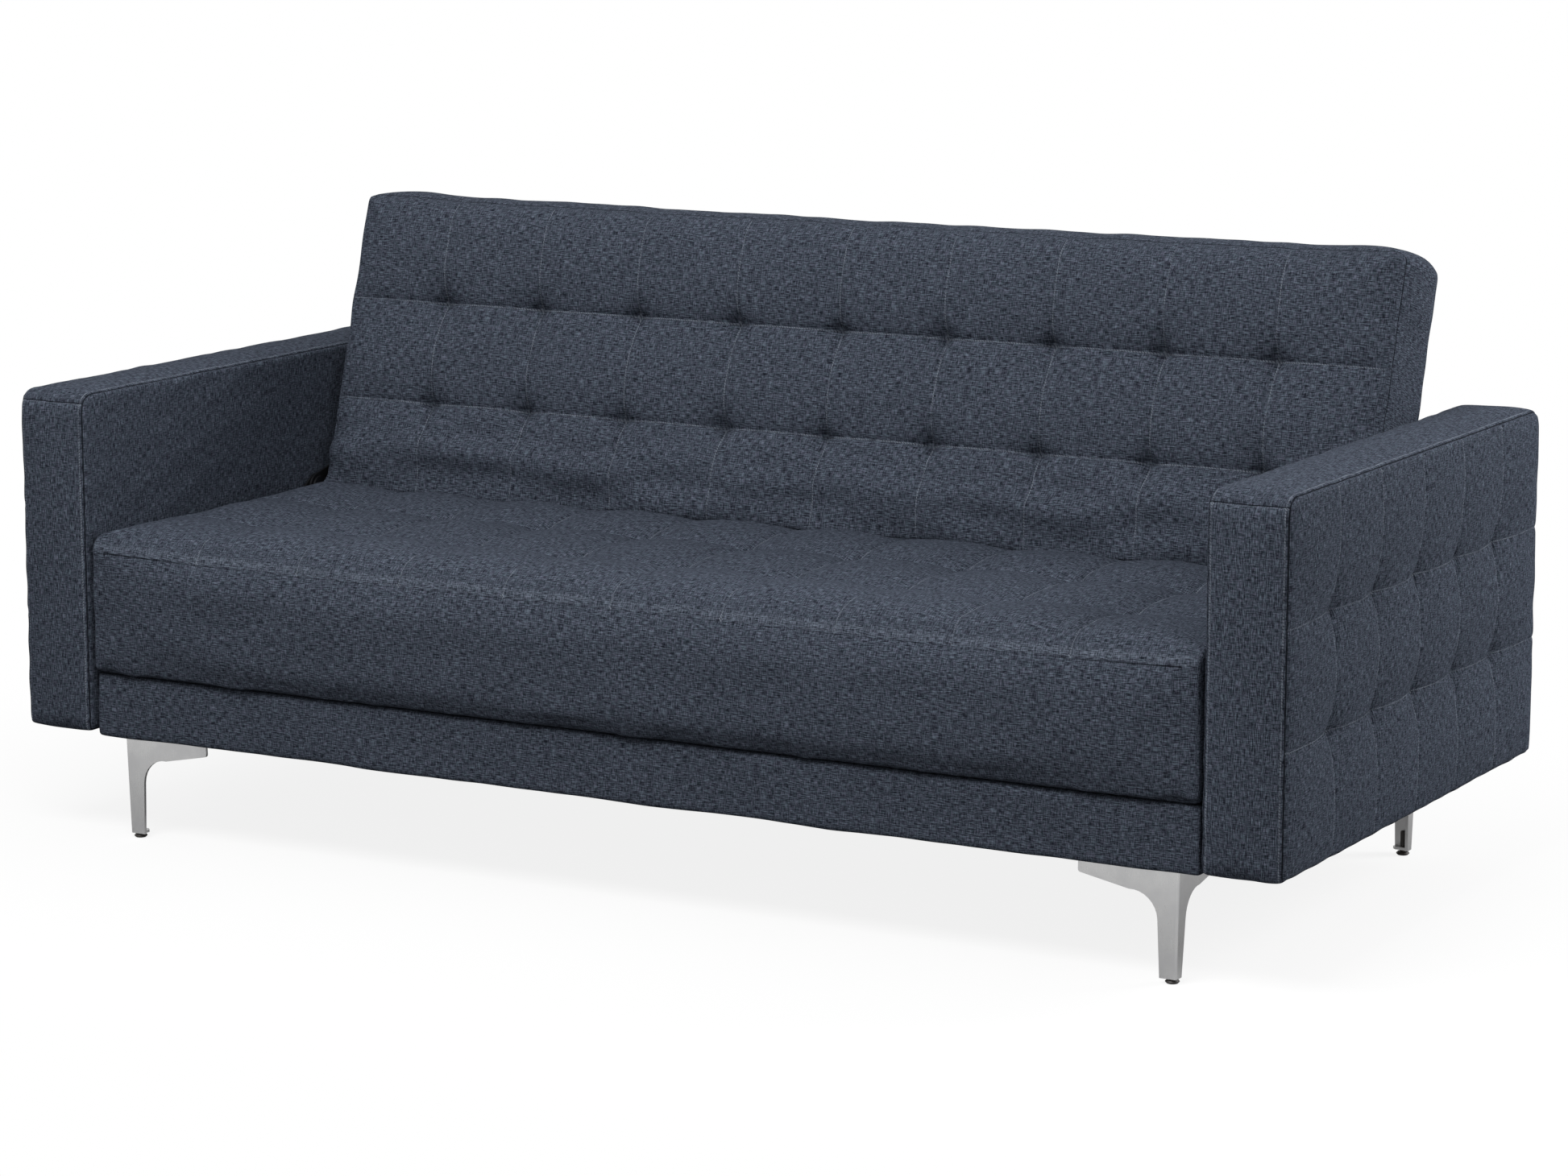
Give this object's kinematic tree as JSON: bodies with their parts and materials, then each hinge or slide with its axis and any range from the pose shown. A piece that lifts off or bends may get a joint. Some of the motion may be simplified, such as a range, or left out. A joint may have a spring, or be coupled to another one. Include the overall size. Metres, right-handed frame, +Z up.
{
  "type": "futon sofa bed",
  "caption": "Three-seat box-arm sofa whose quilted backrest unlocks and folds down level with the seat to make a bed; the seat front lifts; L-section metal legs with levelling glides.",
  "frame": {"origin": "on the floor, under the middle of the sofa's outline", "axes": "+X to the right of someone facing the sofa's front, along its width; +Y from the front to the back; +Z up"},
  "size_m": [2, 0.9, 0.8881],
  "materials": {
    "cover_fabric": "heathered slate-blue linen-look weave",
    "lining": "thin black non-woven sheet",
    "frame_wood": "raw sawn softwood",
    "spring_steel": "oiled spring wire",
    "webbing": "woven elastic webbing",
    "leg_metal": "satin nickel-look plating on a casting",
    "glide_plastic": "dark moulded foot",
    "hinge_steel": "black-painted pressed steel",
    "spacer_plastic": "black nylon"
  },
  "bodies": {
    "base": {"base_front_rail": "frame_wood", "base_rear_rail": "frame_wood", "base_side_rail_left": "frame_wood", "base_side_rail_right": "frame_wood", "base_cross_rails": "frame_wood", "base_corner_blocks": "frame_wood", "base_apron_front": "cover_fabric", "base_apron_rear": "cover_fabric", "base_side_tapes": "lining", "base_underlining": "lining", "leg_front_left": "leg_metal", "leg_front_right": "leg_metal", "leg_rear_left": "leg_metal", "leg_rear_right": "leg_metal", "leg_screws": "hinge_steel", "arm_band_left": "cover_fabric", "arm_band_right": "cover_fabric", "arm_outer_pad_left": "cover_fabric", "arm_outer_pad_right": "cover_fabric", "arm_inner_panel_left": "cover_fabric", "arm_inner_panel_right": "cover_fabric", "arm_posts_left": "frame_wood", "arm_posts_right": "frame_wood", "arm_rails_left": "frame_wood", "arm_rails_right": "frame_wood", "arm_spacers": "spacer_plastic", "arm_bolts": "hinge_steel", "hinge_bracket_left": "hinge_steel", "hinge_bracket_right": "hinge_steel", "hinge_pins": "hinge_steel", "hinge_bracket_bolts": "hinge_steel", "pawl_rivets": "hinge_steel"},
    "seat": {"seat_cushion": "cover_fabric", "seat_front_rail": "frame_wood", "seat_rear_rail": "frame_wood", "seat_side_rails": "frame_wood", "seat_cross_rails": "frame_wood", "seat_springs": "spring_steel", "seat_underlining": "lining", "hinge_seat_plate_left": "hinge_steel", "hinge_seat_plate_right": "hinge_steel", "seat_plate_bolts": "hinge_steel"},
    "backrest": {"back_cushion": "cover_fabric", "back_top_rail": "frame_wood", "back_bottom_rail": "frame_wood", "back_stiles": "frame_wood", "back_webbing": "webbing", "back_rear_panel": "cover_fabric", "hinge_back_plate_left": "hinge_steel", "hinge_back_plate_right": "hinge_steel", "back_plate_bolts": "hinge_steel", "back_plate_spacers": "frame_wood"},
    "pawl_left": {"pawl_left": "hinge_steel"},
    "pawl_right": {"pawl_right": "hinge_steel"},
    "glide_front_left": {"glide_front_left": "glide_plastic"},
    "glide_front_right": {"glide_front_right": "glide_plastic"},
    "glide_rear_left": {"glide_rear_left": "glide_plastic"},
    "glide_rear_right": {"glide_rear_right": "glide_plastic"}
  },
  "joints": [
    {"name": "seat_lift", "type": "hinge", "parent": "base", "child": "seat", "pos_m": [0, 0.12, 0.4443], "axis": [-1, 0, 0], "range_deg": [0, 45]},
    {"name": "back_fold", "type": "hinge", "parent": "base", "child": "backrest", "pos_m": [0, 0.12, 0.4443], "axis": [-1, 0, 0], "range_deg": [-14, 73.5]},
    {"name": "pawl_left_swing", "type": "hinge", "parent": "base", "child": "pawl_left", "pos_m": [0, 0.06343, 0.41168], "axis": [1, 0, 0], "range_deg": [0, 9]},
    {"name": "pawl_right_swing", "type": "hinge", "parent": "base", "child": "pawl_right", "pos_m": [0, 0.06343, 0.41168], "axis": [1, 0, 0], "range_deg": [0, 9]},
    {"name": "glide_front_left_screw", "type": "slide", "parent": "base", "child": "glide_front_left", "axis": [0, 0, -1], "range_m": [0, 0.008]},
    {"name": "glide_front_right_screw", "type": "slide", "parent": "base", "child": "glide_front_right", "axis": [0, 0, -1], "range_m": [0, 0.008]},
    {"name": "glide_rear_left_screw", "type": "slide", "parent": "base", "child": "glide_rear_left", "axis": [0, 0, -1], "range_m": [0, 0.008]},
    {"name": "glide_rear_right_screw", "type": "slide", "parent": "base", "child": "glide_rear_right", "axis": [0, 0, -1], "range_m": [0, 0.008]}
  ]
}
